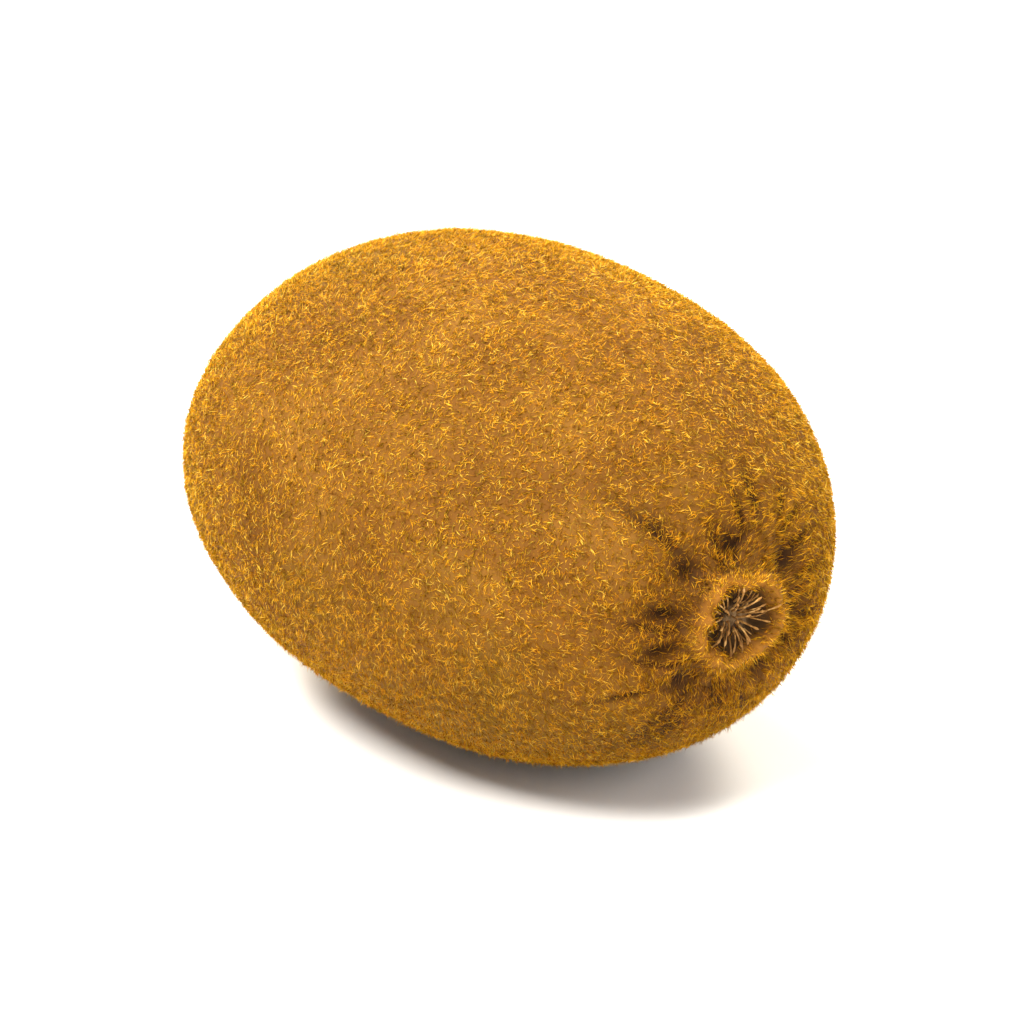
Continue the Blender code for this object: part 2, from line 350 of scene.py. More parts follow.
def makeSkin():  # gives the skin and where its two poles are
    deselectAll()
    bpy.ops.mesh.primitive_uv_sphere_add(
        segments=fruit["segments"],
        ring_count=fruit["rings"],
        radius=fruit["width"] / 2,
        rotation=(0, math.pi / 2, 0),
    )
    skin = bpy.context.object
    skin.name = "kiwiSkin"
    applyPlace(skin)
    sortFaces(skin)
    towards = unit(readPoints(skin))
    turn = np.arctan2(towards[:, 2], towards[:, 1])
    side = np.where(towards[:, 0] > 0, 1, -1)
    half = np.arccos(np.clip(np.abs(towards[:, 0]), 0, 1)) / (math.pi / 2)
    points, radius = fruitPoints(ringShare(half), turn, side)
    low, high = points.min(0), points.max(0)
    wanted = np.array([fruit["length"], fruit["width"], fruit["height"] + fruit["flatDepth"]])
    points = (points - (low + high) / 2) * wanted / (high - low)
    # how deep in a groove each point lies, which the skin's colour darkens as painted shade
    paintPoints(skin, "groove", addGrooves(points, side, turn))
    ridges = skinFinish["cupRidgeHeight"] * np.cos(
        skinFinish["cupRidges"] * uneven(turn + skinFinish["cupRidgePhase"])
    )
    ridges = ridges * hump(radius, skinFinish["cupRidgeRadius"], skinFinish["cupRidgeWidth"])
    points[:, 0] += np.where(side > 0, ridges, 0)
    points[:, 2] += fruit["height"] / 2 - fruit["flatDepth"] / 2
    writePoints(skin, points)
    paintMasks(skin, radius, turn, side > 0)
    addGroup(skin, "ends", fadeOut(radius, skinFinish["crumpleReach"]))
    addDisplace(skin, "dents", skinFinish["dentSize"], skinFinish["dents"])
    addDisplace(skin, "lumps", skinFinish["lumpSize"], skinFinish["lumps"])
    addDisplace(skin, "crumple", skinFinish["crumpleSize"], skinFinish["crumple"], "ends")
    applyModifiers(skin)
    placeLikeSolid(skin)
    pick(skin)
    bpy.ops.object.shade_smooth()
    ends = {end: readPoints(skin)[np.argmax(towards[:, 0] * end)] for end in (-1, 1)}
    return skin, ends


def groundAt(skin, ends, end, radius, turn):  # the skin's point at a distance from an end's axis
    middle = ends[end]
    y = middle[1] + radius * math.cos(turn)
    z = middle[2] + radius * math.sin(turn)
    start = Vector((end * fruit["length"], y, z))
    return np.array(skin.ray_cast(start, Vector((-end, 0, 0)))[1])


# Fuzz: one hair is modelled, and its copies are bent and planted all over the skin

fuzz = {
    "seed": 21,
    "rootDepth": 0.00012,
    "endReach": 0.011,  # the hairs closer to an end's axis than this are longer and point outwards
    "lowest": 0.00025,  # no hair grows lower than this, where the fruit rests
    "endDusk": 0.45,  # share of its tint that a hair at an end loses
    "ringGlow": 0.35,  # and that it gains on the raised ring
    "endGrowth": 0.30,  # share of its length that it gains at an end
    "ringLoss": 0.20,  # and that it loses on the ring
    "endStanding": 0.25,  # share of the hairs that stand up more at an end
    "endSwirl": 0.55,  # how much the nap's own way still counts there
    "swing": 0.4,  # radians that a hair bends sideways
    "bareness": {"pit": 0.75, "cup": 0.95, "ring": 0.10},  # share of the hairs missing there
    "barest": 0.02,
    "thinning": 0.1,
    "thinSize": 0.006,
    "scarGap": 0.0004,  # the skin stays bare this far round the scar
    "scarEdge": 0.0002,
    "nap": ((0.9, 8, 0.010), (0.8, 9, 0.0028)),  # radians, seed and size of each swirl in the nap
    "standingLift": (0.7, 1.35),
    "standingDroop": (-0.2, 0.7),
    "standingLength": 0.8,
    "lowerPart": 0.55,  # share of the length before the bend
    "upperPart": 0.5,
}

fuzzKinds = {
    "long": {
        "pieces": 5,
        "hairs": 18000,  # in each piece
        "length": (0.0006, 0.0013),
        "thickness": (0.000030, 0.000046),  # radius at the root
        "shade": (0.1, 1.0),  # 0 is the darkest tint and 1 the palest
        "lift": (0.22, 0.70),  # radians between the root and the skin
        "droop": (0.15, 0.60),  # radians that it bends back
        "standing": 0.15,  # share of the hairs that stand off the skin
        "scatter": 1.25,  # radians that it strays from the nap
        "cuts": ((0.5, 0.78),),  # height of each cut across a hair, and its width there
    },
    "down": {
        "pieces": 5,
        "hairs": 36000,
        "length": (0.0004, 0.0009),
        "thickness": (0.000028, 0.000042),
        "shade": (0.0, 0.85),
        "lift": (0.20, 0.95),
        "droop": (0.0, 0.0),
        "standing": 0.0,
        "scatter": 1.3,
        "cuts": (),
    },
}


def modelStrand(sides, tip, cuts):  # one unit long along Z, one unit of radius at its root
    deselectAll()
    bpy.ops.mesh.primitive_cone_add(vertices=sides, radius1=1, radius2=tip, depth=1, location=(0, 0, 0.5))
    strand = bpy.context.object
    applyPlace(strand)
    bpy.ops.object.mode_set(mode="EDIT")
    for height, width in cuts:
        bpy.ops.mesh.select_all(action="SELECT")
        bpy.ops.mesh.bisect(plane_co=(0, 0, height), plane_no=(0, 0, 1))
        grow = width / (1 - height * (1 - tip))
        bpy.ops.transform.resize(value=(grow, grow, 1))
    bpy.ops.mesh.select_all(action="SELECT")
    bpy.ops.mesh.quads_convert_to_tris()
    bpy.ops.object.mode_set(mode="OBJECT")
    points = readPoints(strand)
    faces = np.array([face.vertices[:] for face in strand.data.polygons])
    bpy.data.objects.remove(strand)
    return points, faces


def readSkin(skin):  # its triangles, their facing and area, and what is painted on them
    skin.data.calc_loop_triangles()
    corners = np.empty(len(skin.data.loop_triangles) * 3, np.int32)
    skin.data.loop_triangles.foreach_get("vertices", corners)
    corners = corners.reshape(-1, 3)
    triangles = readPoints(skin)[corners]
    facing = np.cross(triangles[:, 1] - triangles[:, 0], triangles[:, 2] - triangles[:, 0])
    area = np.linalg.norm(facing, axis=1)
    painted = {}
    for name in fuzz["bareness"]:
        values = np.empty(len(skin.data.vertices), np.float32)
        skin.data.attributes[name].data.foreach_get("value", values)
        painted[name] = values[corners].mean(1)
    return triangles, unit(facing), area, painted


softWaves = {"count": 6, "spacing": (0.6, 1.4), "evening": 2.4}


def softField(places, seed, size):  # a slowly changing number for each place, about -1 to 1
    draw = np.random.default_rng(seed)
    total = np.zeros(len(places))
    for _ in range(softWaves["count"]):
        way = unit(draw.normal(size=3)) * draw.uniform(*softWaves["spacing"]) / size
        total += np.sin(places @ way + draw.uniform(0, 2 * math.pi))
    return total / softWaves["evening"]


def scatter(ground, ends, count, draw):  # places spread over the skin, sparser in its pits and in the cup
    triangles, facing, area, painted = ground
    middle = triangles.mean(1)
    covered = 1 - sum(share * np.clip(painted[name], 0, 1) for name, share in fuzz["bareness"].items())
    thick = 1 - fuzz["thinning"] + fuzz["thinning"] * softField(middle, 3, fuzz["thinSize"])
    stalk = np.hypot(middle[:, 1] - ends[-1][1], middle[:, 2] - ends[-1][2])
    woody = stepDown(stalk, stemEnd["scarRadius"] + fuzz["scarGap"], fuzz["scarEdge"])
    woody = np.where(middle[:, 0] < 0, woody, 0)
    wanted = area * np.clip(covered, fuzz["barest"], 1) * np.clip(thick, 0, 1) * (1 - woody)
    wanted = np.where(middle[:, 2] > fuzz["lowest"], wanted, 0)
    chosen = draw.choice(len(area), count, p=wanted / wanted.sum())
    first, second = draw.random((2, count, 1))
    folded = first + second > 1
    first, second = np.where(folded, 1 - first, first), np.where(folded, 1 - second, second)
    corner = triangles[chosen]
    places = corner[:, 0] + first * (corner[:, 1] - corner[:, 0]) + second * (corner[:, 2] - corner[:, 0])
    return places, facing[chosen], painted["ring"][chosen]


def combing(places, facing, ends, spread, draw):  # the way that each hair leans, along the skin
    axis = unit(np.cross(facing, np.cross(np.array([1.0, 0, 0]), facing)) + 1e-9)
    beside = np.cross(facing, axis)
    angle = sum(swirl * softField(places, seed, size) for swirl, seed, size in fuzz["nap"])
    angle = angle + draw.normal(0, spread, len(places))
    swirled = axis * np.cos(angle)[:, None] + beside * np.sin(angle)[:, None]
    outward = places - np.where(places[:, :1] > 0, ends[1], ends[-1])
    outward[:, 0] = 0
    distance = np.linalg.norm(outward, axis=1)
    away = unit(outward) + fuzz["endSwirl"] * swirled
    away = unit(away - facing * (away * facing).sum(1, keepdims=True))
    nearEnd = fadeOut(distance, fuzz["endReach"])[:, None]
    return unit(swirled * (1 - nearEnd) + away * nearEnd), nearEnd


planting = {
    "crossways": (0.3, 0.5, 0.8),  # turns every copy's cross section alike
    "floorGap": 0.00001,  # the lowest that any point may lie
    "mapWidth": 0.28,  # shares of a copy's own square in the map
    "mapFoot": 0.2,
    "mapLength": 0.6,
}


def plant(name, model, path, thickness, shade):  # a bent copy of the model on each path of three points
    points, faces = model
    roots, middles, tips = path
    count, size = len(roots), len(points)
    height = points[:, 2][None, :, None]
    placed = (1 - height) ** 2 * roots[:, None] + 2 * height * (1 - height) * middles[:, None]
    placed = placed + height**2 * tips[:, None]
    ahead = unit(tips - roots)
    aside = unit(np.cross(ahead, np.array(planting["crossways"])))
    above = np.cross(aside, ahead)
    across = points[:, 0][None, :, None] * aside[:, None] + points[:, 1][None, :, None] * above[:, None]
    placed = placed + across * thickness[:, None, None]
    placed[:, :, 2] = np.maximum(placed[:, :, 2], planting["floorGap"])
    corners = (faces[None] + (np.arange(count) * size)[:, None, None]).reshape(-1, 3)
    mesh = bpy.data.meshes.new(name)
    mesh.vertices.add(count * size)
    mesh.vertices.foreach_set("co", placed.astype(np.float32).ravel())
    mesh.loops.add(len(corners) * 3)
    mesh.loops.foreach_set("vertex_index", corners.astype(np.int32).ravel())
    mesh.polygons.add(len(corners))
    mesh.polygons.foreach_set("loop_start", np.arange(0, len(corners) * 3, 3, dtype=np.int32))
    mesh.update(calc_edges=True)
    obj = bpy.data.objects.new(name, mesh)
    bpy.context.scene.collection.objects.link(obj)
    paintPoints(obj, "shade", np.repeat(shade, size))
    paintPoints(obj, "upHair", np.tile(points[:, 2], count))
    giveHairMap(mesh, points, count, corners)
    pick(obj)
    bpy.ops.object.shade_smooth()
    return obj


def giveHairMap(mesh, points, count, corners):  # each hair has a small square of its own in the map
    grid = math.ceil(math.sqrt(count))
    number = np.arange(count)
    square = np.stack((number % grid, number // grid), axis=1)[:, None]
    angle = np.arctan2(points[:, 1], points[:, 0])
    across = 0.5 + planting["mapWidth"] * np.sin(angle)
    along = planting["mapFoot"] + planting["mapLength"] * points[:, 2]
    inside = np.stack((across, along), axis=1)[None]
    spots = ((square + inside) / grid).reshape(-1, 2)
    layer = mesh.uv_layers.new(name="OFBake")
    layer.uv.foreach_set("vector", spots[corners.ravel()].astype(np.float32).ravel())


def makeFuzz(skin, ends, material):
    draw = np.random.default_rng(fuzz["seed"])
    ground = readSkin(skin)
    for kind, it in fuzzKinds.items():
        model = modelStrand(3, 0, it["cuts"])
        for number in range(it["pieces"]):
            count = it["hairs"]
            rows = (count, 1)
            places, facing, ring = scatter(ground, ends, count, draw)
            level, nearEnd = combing(places, facing, ends, it["scatter"], draw)
            swing = draw.normal(0, fuzz["swing"], rows)
            turned = unit(level * np.cos(swing) + np.cross(facing, level) * np.sin(swing))
            length = draw.uniform(*it["length"], rows) * (1 + fuzz["endGrowth"] * nearEnd)
            length = length * (1 - fuzz["ringLoss"] * ring[:, None])
            stands = draw.random(rows) < it["standing"] + fuzz["endStanding"] * nearEnd
            lowLift = draw.uniform(*it["lift"], rows)
            lift = np.where(stands, draw.uniform(*fuzz["standingLift"], rows), lowLift)
            standingDroop = draw.uniform(*fuzz["standingDroop"], rows)
            droop = np.where(stands, standingDroop, draw.uniform(*it["droop"], rows))
            length = np.where(stands, length * fuzz["standingLength"], length)
            roots = places - facing * fuzz["rootDepth"]
            rising = level * np.cos(lift) + facing * np.sin(lift)
            bending = turned * np.cos(lift - droop) + facing * np.sin(lift - droop)
            middles = roots + rising * length * fuzz["lowerPart"]
            tips = middles + bending * length * fuzz["upperPart"]
            if not it["cuts"]:
                middles = (roots + tips) / 2
            thickness = draw.uniform(*it["thickness"], count)
            shade = draw.uniform(*it["shade"], count) * (1 - fuzz["endDusk"] * nearEnd[:, 0])
            shade = shade + fuzz["ringGlow"] * ring
            hairs = plant(f"{kind}Fuzz_{number + 1}", model, (roots, middles, tips), thickness, shade)
            finishPiece(hairs, material)
        print(kind, "fuzz planted")


# Dried styles in the cup at the blossom end: one is modelled, and its copies are bent

styles = {
    "count": 44,
    "spread": 0.0017,  # they stand this far from the axis at most
    "rootDepth": 0.0003,
    "length": (0.0022, 0.0040),
    "innerLength": 0.75,  # share of its length that one in the middle has
    "thickness": (0.00009, 0.00016),
    "tip": 0.35,  # a tip's width, for a root 1 wide
    "cuts": ((0.15, 0.85), (0.35, 0.70), (0.55, 0.62), (0.75, 0.55), (0.90, 0.95)),
    "goldenTurn": 2.4,  # radians from each one to the next
    "stray": 0.3,
    "lean": (0.20, 1.15),  # radians from the axis in the middle of the tuft and at its rim
    "leanStray": 0.25,
    "curl": (0.1, 0.9),  # radians that the upper half bends further out
    "sideways": 0.5,
    "seed": 4,
}


def makeStyles(skin, ends, material):
    it = styles
    draw = np.random.default_rng(it["seed"])
    model = modelStrand(6, it["tip"], it["cuts"])
    ahead = np.array([1.0, 0, 0])
    paths = []
    for number in range(it["count"]):
        share = math.sqrt((number + 0.5) / it["count"])
        turn = it["goldenTurn"] * number + draw.uniform(-it["stray"], it["stray"])
        outward = np.array([0, math.cos(turn), math.sin(turn)])
        sideways = draw.uniform(-it["sideways"], it["sideways"])
        beside = np.array([0, -math.sin(turn), math.cos(turn)]) * sideways
        root = groundAt(skin, ends, 1, it["spread"] * share, turn) - ahead * it["rootDepth"]
        least, most = it["lean"]
        lean = least + (most - least) * share + draw.uniform(-it["leanStray"], it["leanStray"])
        half = draw.uniform(*it["length"]) * (it["innerLength"] + (1 - it["innerLength"]) * share) / 2
        middle = root + (ahead * math.cos(lean / 2) + outward * math.sin(lean / 2)) * half
        bent = lean + draw.uniform(*it["curl"])
        tip = middle + (ahead * math.cos(bent) + outward * math.sin(bent) + beside) * half
        paths.append((root, middle, tip))
    thickness = draw.uniform(*it["thickness"], it["count"])
    path = np.array(paths).transpose(1, 0, 2)
    made = plant("driedStyles", model, path, thickness, draw.random(it["count"]))
    finishPiece(made, material)


# Stem end: the round scar of the stalk, and the dried sepals that lie round it

scar = {
    "sides": 72,
    "depth": 0.0014,
    "stands": 0.0004,  # its rim stands this far off the skin
    "steps": (  # from its rim inwards, the width of each ring and how far it rises
        (0.00030, 0.00014),
        (0.00030, -0.00034),
        (0.00040, 0.00024),
        (0.00030, -0.00026),
        (0.00040, 0.00010),
    ),
    "topFacing": -0.9,  # its top is the face whose normal's X is below this
    "rounding": 0.00006,
    "roundingSteps": 2,
    "sharpest": 25,  # degrees that an edge may turn before it is rounded
    "bumps": {"size": 0.0009, "height": 0.00014},
    "grain": {"size": 0.0003, "height": 0.00007},
    "ringSpacing": 0.00078,
    "ringLobes": ((2, 0.8, 0.10), (3, 2.1, 0.09), (7, 0.4, 0.05)),
    "probes": 6,
    "probeShare": 0.7,  # share of its radius at which the skin's height is read
}

sepals = {
    "count": 5,
    "inner": 0.0021,
    "lengths": (0.0022, 0.0050),
    "widths": (0.0022, 0.0038),
    "thickness": 0.00020,
    "stands": 0.00012,  # all of it stands this far off the skin
    "curl": (0.0001, 0.0009),  # how much further its tip stands off
    "cupping": 0.00040,  # and its two edges
    "rootCupping": 0.3,  # share of that at its root, and its tip has 1 more
    "crinkle": 0.00025,
    "rootCrinkle": 0.2,  # the same for the crinkle
    "crinkleSize": 0.0007,
    "gridAcross": 10,
    "gridAlong": 16,
    "wavesAlong": 9,
    "wavesAcross": 7,
    "outline": (0.62, 0.9, 1.45),  # width at the root, how it grows, and how it narrows to the tip
    "tipWidth": 0.06,
    "firstAt": 0.3,  # share of the space between two
    "stray": 0.22,
    "swing": 0.35,  # radians that a tip lies to one side
    "veins": 4,
    "seed": 12,
}


def paintVeins(obj, count):  # 1 on a vein and 0 halfway to the next, as the count goes up by one
    paintPoints(obj, "vein", 0.5 + 0.5 * np.cos(2 * math.pi * count))


def makeScar(skin, ends, material):
    deselectAll()
    middle = ends[-1]
    probe = stemEnd["scarRadius"] * scar["probeShare"]
    rim = np.mean([groundAt(skin, ends, -1, probe, turn)[0] for turn in range(scar["probes"])])
    bpy.ops.mesh.primitive_cylinder_add(
        vertices=scar["sides"],
        radius=stemEnd["scarRadius"],
        depth=scar["depth"],
        location=(rim + scar["depth"] / 2 - scar["stands"], middle[1], middle[2]),
        rotation=(0, -math.pi / 2, 0),
    )
    made = bpy.context.object
    made.name = "stalkScar"
    applyPlace(made)
    bpy.ops.object.mode_set(mode="EDIT")
    bpy.ops.mesh.select_mode(type="FACE")
    bpy.ops.mesh.select_all(action="DESELECT")
    bpy.ops.object.mode_set(mode="OBJECT")
    for face in made.data.polygons:
        face.select = face.normal.x < scar["topFacing"]
    bpy.ops.object.mode_set(mode="EDIT")
    for inset, rise in scar["steps"]:
        bpy.ops.mesh.inset(thickness=inset, depth=rise)
    bpy.ops.mesh.poke()
    bpy.ops.object.mode_set(mode="OBJECT")
    bevel = made.modifiers.new("rounding", "BEVEL")
    bevel.width = scar["rounding"]
    bevel.segments = scar["roundingSteps"]
    bevel.angle_limit = math.radians(scar["sharpest"])
    smoother = made.modifiers.new("smoother", "SUBSURF")
    smoother.levels = smoother.render_levels = 1
    addDisplace(made, "scarBumps", scar["bumps"]["size"], scar["bumps"]["height"])
    addDisplace(made, "scarGrain", scar["grain"]["size"], scar["grain"]["height"])
    applyModifiers(made)
    away = readPoints(made) - middle
    turn = np.arctan2(away[:, 2], away[:, 1])
    radius = np.hypot(away[:, 1], away[:, 2]) * (1 + waves(turn, scar["ringLobes"]))
    paintVeins(made, radius / scar["ringSpacing"])
    pick(made)
    bpy.ops.object.shade_smooth()
    finishPiece(made, material)


def modelFlap():  # a flat grid, one unit wide and one unit long, that each sepal starts as
    deselectAll()
    bpy.ops.mesh.primitive_grid_add(
        x_subdivisions=sepals["gridAcross"],
        y_subdivisions=sepals["gridAlong"],
        size=1,
        location=(0, 0.5, 0),
    )
    flap = bpy.context.object
    applyPlace(flap)
    return flap


def makeSepals(skin, ends, material):
    it = sepals
    draw = random.Random(it["seed"])
    flap = modelFlap()
    for number in range(it["count"]):
        evenly = 2 * math.pi * (number + it["firstAt"]) / it["count"]
        middle = evenly + draw.uniform(-it["stray"], it["stray"])
        length = draw.uniform(*it["lengths"])
        width = draw.uniform(*it["widths"])
        curl = draw.uniform(*it["curl"])
        swing = draw.uniform(-it["swing"], it["swing"])
        phase = draw.uniform(0, 2 * math.pi)
        rootWidth, growth, narrowing = it["outline"]
        sepal = bpy.data.objects.new(f"sepal_{number + 1}", flap.data.copy())
        bpy.context.scene.collection.objects.link(sepal)
        flat = readPoints(sepal)
        points = flat.copy()
        for index, (across, along, _) in enumerate(flat):
            outline = max(rootWidth + growth * along - narrowing * along**3, it["tipWidth"])
            radius = it["inner"] + length * along
            turn = middle + swing * along + across * width * outline / radius
            ground = groundAt(skin, ends, -1, radius, turn)
            lift = curl * along**2 + it["cupping"] * (2 * across) ** 2 * (it["rootCupping"] + along)
            wave = math.sin(it["wavesAlong"] * along + it["wavesAcross"] * across + phase)
            crinkle = it["crinkle"] * wave * (it["rootCrinkle"] + along)
            points[index] = ground - np.array([lift + crinkle + it["stands"], 0, 0])
        paintVeins(sepal, it["veins"] * flat[:, 0])
        writePoints(sepal, points)
        thick = sepal.modifiers.new("thickness", "SOLIDIFY")
        thick.thickness = it["thickness"]
        thick.offset = 0
        smoother = sepal.modifiers.new("smoother", "SUBSURF")
        smoother.levels = smoother.render_levels = 1
        addDisplace(sepal, f"sepalCrinkle_{number + 1}", it["crinkleSize"], it["crinkle"])
        applyModifiers(sepal)
        pick(sepal)
        bpy.ops.object.mode_set(mode="EDIT")
        bpy.ops.mesh.select_all(action="SELECT")
        bpy.ops.mesh.normals_make_consistent(inside=False)
        bpy.ops.object.mode_set(mode="OBJECT")
        bpy.ops.object.shade_smooth()
        finishPiece(sepal, material)
    bpy.data.objects.remove(flap)


# Materials

def newMaterial(name):
    material = bpy.data.materials.new(name)
    material.use_nodes = True
    tree = material.node_tree
    return material, tree.nodes, tree.links, tree.nodes["Principled BSDF"]


noiseRoughness = 0.55


def addNoise(nodes, links, where, scale, detail):
    noise = nodes.new("ShaderNodeTexNoise")
    noise.inputs["Scale"].default_value = scale
    noise.inputs["Detail"].default_value = detail
    noise.inputs["Roughness"].default_value = noiseRoughness
    links.new(where.outputs["Object"], noise.inputs["Vector"])
    return noise.outputs["Fac"]


def addRamp(nodes, links, source, stops):
    ramp = nodes.new("ShaderNodeValToRGB")
    elements = ramp.color_ramp.elements
    while len(elements) < len(stops):
        elements.new(0.5)
    for element, (place, colour) in zip(elements, stops):
        element.position = place
        element.color = (*colour, 1) if isinstance(colour, tuple) else (colour, colour, colour, 1)
    links.new(source, ramp.inputs["Fac"])
    return ramp.outputs["Color"]


def addMix(nodes, links, amount, first, second, blend="MIX"):  # a value, a colour or a socket for each
    mix = nodes.new("ShaderNodeMix")
    mix.data_type = "RGBA"
    mix.blend_type = blend
    for name, value in (("Factor", amount), ("A", first), ("B", second)):
        socket = next(found for found in mix.inputs if found.name == name and found.enabled)
        if isinstance(value, tuple):
            socket.default_value = (*value, 1)
        elif isinstance(value, float):
            socket.default_value = value
        else:
            links.new(value, socket)
    return next(found for found in mix.outputs if found.enabled)


def addAttribute(nodes, name):
    attribute = nodes.new("ShaderNodeAttribute")
    attribute.attribute_name = name
    return attribute.outputs["Fac"]


def newGroup(name, inputs, outputs):  # a shader node group, with the sockets that it takes and gives
    group = bpy.data.node_groups.new(name, "ShaderNodeTree")
    for socket, kind in inputs.items():
        group.interface.new_socket(name=socket, in_out="INPUT", socket_type=f"NodeSocket{kind}")
    for socket, kind in outputs.items():
        group.interface.new_socket(name=socket, in_out="OUTPUT", socket_type=f"NodeSocket{kind}")
    taken = group.nodes.new("NodeGroupInput")
    given = group.nodes.new("NodeGroupOutput")
    return group, taken.outputs, given.inputs


noiseSockets = {"Vector": "Vector", "Scale": "Float", "Detail": "Float"}


def groupNoise(group, taken):
    noise = group.nodes.new("ShaderNodeTexNoise")
    noise.inputs["Roughness"].default_value = noiseRoughness
    for socket in noiseSockets:
        group.links.new(taken[socket], noise.inputs[socket])
    return noise.outputs["Fac"]


def makePatches():  # mixes in a second colour, more and more from the noise's low value to its high one
    shares = {"Low": "From Min", "High": "From Max", "Low Share": "To Min", "High Share": "To Max"}
    inputs = {"Color": "Color", "Patch Color": "Color", **noiseSockets}
    inputs.update({socket: "Float" for socket in shares})
    group, taken, given = newGroup("patches", inputs, {"Color": "Color"})
    share = group.nodes.new("ShaderNodeMapRange")
    group.links.new(groupNoise(group, taken), share.inputs["Value"])
    for socket, target in shares.items():
        group.links.new(taken[socket], share.inputs[target])
    mixed = addMix(group.nodes, group.links, share.outputs["Result"], taken["Color"], taken["Patch Color"])
    group.links.new(mixed, given["Color"])
    return group


def makeGrain():  # fine grain, as a height and as the bumps that it gives
    inputs = {**noiseSockets, "Strength": "Float", "Distance": "Float"}
    group, taken, given = newGroup("grain", inputs, {"Height": "Float", "Normal": "Vector"})
    height = groupNoise(group, taken)
    bump = group.nodes.new("ShaderNodeBump")
    group.links.new(height, bump.inputs["Height"])
    group.links.new(height, given["Height"])
    for socket in ("Strength", "Distance"):
        group.links.new(taken[socket], bump.inputs[socket])
    group.links.new(bump.outputs["Normal"], given["Normal"])
    return group


def placeGroup(nodes, links, where, name, values):
    placed = nodes.new("ShaderNodeGroup")
    placed.node_tree = bpy.data.node_groups[name]
    links.new(where.outputs["Object"], placed.inputs["Vector"])
    for socket, value in values.items():
        placed.inputs[socket].default_value = value
    return placed


def addPatches(nodes, links, where, colour, patch, scale, detail, low, high):  # low, high: noise and share
    values = {"Patch Color": (*patch, 1), "Scale": scale, "Detail": detail}
    values.update({"Low": low[0], "Low Share": low[1], "High": high[0], "High Share": high[1]})
    placed = placeGroup(nodes, links, where, "patches", values)
    links.new(colour, placed.inputs["Color"])
    return placed.outputs["Color"]


def addGrain(nodes, links, where, shader, scale, detail, strength, distance):
    values = {"Scale": scale, "Detail": detail, "Strength": strength, "Distance": distance}
    placed = placeGroup(nodes, links, where, "grain", values)
    links.new(placed.outputs["Normal"], shader.inputs["Normal"])
    return placed.outputs["Height"]


surfaces = {
    "skin": {"Roughness": 0.8, "Specular IOR Level": 0.05},
    "fuzz": {
        "Roughness": 0.6,
        "Specular IOR Level": 0.02,
        "Subsurface Weight": 0.4,
        "Subsurface Radius": (1.0, 0.55, 0.2),
        "Subsurface Scale": 0.00006,
    },
    "dried": {"Roughness": 0.75, "Specular IOR Level": 0.08},
    "floor": {"Base Color": (0.86, 0.86, 0.85, 1), "Roughness": 0.7, "Emission Strength": 1.0},
}


def setSurface(shader, name):
    for socket, value in surfaces[name].items():
        shader.inputs[socket].default_value = value


skinColours = {
    "dark": (0.100, 0.039, 0.006),
    "middle": (0.130, 0.052, 0.008),
    "light": (0.165, 0.071, 0.011),
    "olive": (0.110, 0.062, 0.008),
    "end": (0.070, 0.028, 0.006),
    # painted shade, laid into the pits and the grooves
    "pit": (0.022, 0.009, 0.003),
    "cup": (0.040, 0.020, 0.007),
    "ring": (0.260, 0.105, 0.014),
    "button": (0.170, 0.100, 0.045),
    "buttonDark": (0.035, 0.018, 0.008),
}


skinPattern = {  # noises have a scale and a detail, ramps the places of their stops and what is there
    "blotches": (110, 4),
    "tintPlaces": (0.34, 0.5, 0.68),
    "olive": (38, 2, (0.50, 0), (0.68, 0.6)),
    "ends": ((0.0, 0.0), (1.0, 0.75)),
    "ring": ((0.2, 0.0), (1.0, 0.8)),
    "flecks": (900, 3),
    "fleckPlaces": (0.42, 0.66),
    "grain": (1500, 6, 0.6, 0.00012),
}


def skinMaterial():
    material, nodes, links, shader = newMaterial("kiwiSkin")
    where = nodes.new("ShaderNodeTexCoord")
    paint = skinColours
    it = skinPattern
    blotches = addNoise(nodes, links, where, *it["blotches"])
    tints = tuple(zip(it["tintPlaces"], (paint["dark"], paint["middle"], paint["light"])))
    colour = addRamp(nodes, links, blotches, tints)
    colour = addPatches(nodes, links, where, colour, paint["olive"], *it["olive"])
    ends = addRamp(nodes, links, addAttribute(nodes, "nearEnd"), it["ends"])
    colour = addMix(nodes, links, ends, colour, paint["end"])
    # the pits and the grooves are darkened with painted shade, and the cup gets the cup tint
    for mask, tint in (("pit", "pit"), ("groove", "pit"), ("cup", "cup")):
        colour = addMix(nodes, links, addAttribute(nodes, mask), colour, paint[tint])
    ring = addRamp(nodes, links, addAttribute(nodes, "ring"), it["ring"])
    colour = addMix(nodes, links, ring, colour, paint["ring"])
    fleckNoise = addNoise(nodes, links, where, *it["flecks"])
    fleckTints = tuple(zip(it["fleckPlaces"], (paint["buttonDark"], paint["button"])))
    flecks = addRamp(nodes, links, fleckNoise, fleckTints)
    colour = addMix(nodes, links, addAttribute(nodes, "button"), colour, flecks)
    links.new(colour, shader.inputs["Base Color"])
    addGrain(nodes, links, where, shader, *it["grain"])
    setSurface(shader, "skin")
    return material


fuzzColours = {
    "tints": (  # each goes with a hair's own shade
        (0.0, (0.105, 0.032, 0.001)),
        (0.35, (0.360, 0.142, 0.004)),
        (0.75, (0.720, 0.350, 0.012)),
        (1.0, (0.940, 0.610, 0.080)),
    ),
    "dusk": (0.300, 0.130, 0.010),
    "rust": (0.520, 0.180, 0.010),
    "tuftShade": (0.0, 0.0, 0.0),  # between the tufts
}


fuzzPattern = {  # scale, detail, and two pairs of the noise and the patch's share there
    "dusk": (45, 2, (0.40, 0), (0.70, 0.18)),
    "rust": (26, 1, (0.40, 0), (0.70, 0.30)),
    "tuftShade": (1100, 3, (0.40, 0.66), (0.56, 0)),
}
rootShade = ((0.0, 0.35), (0.5, 1.0))  # a hair is darker towards its root


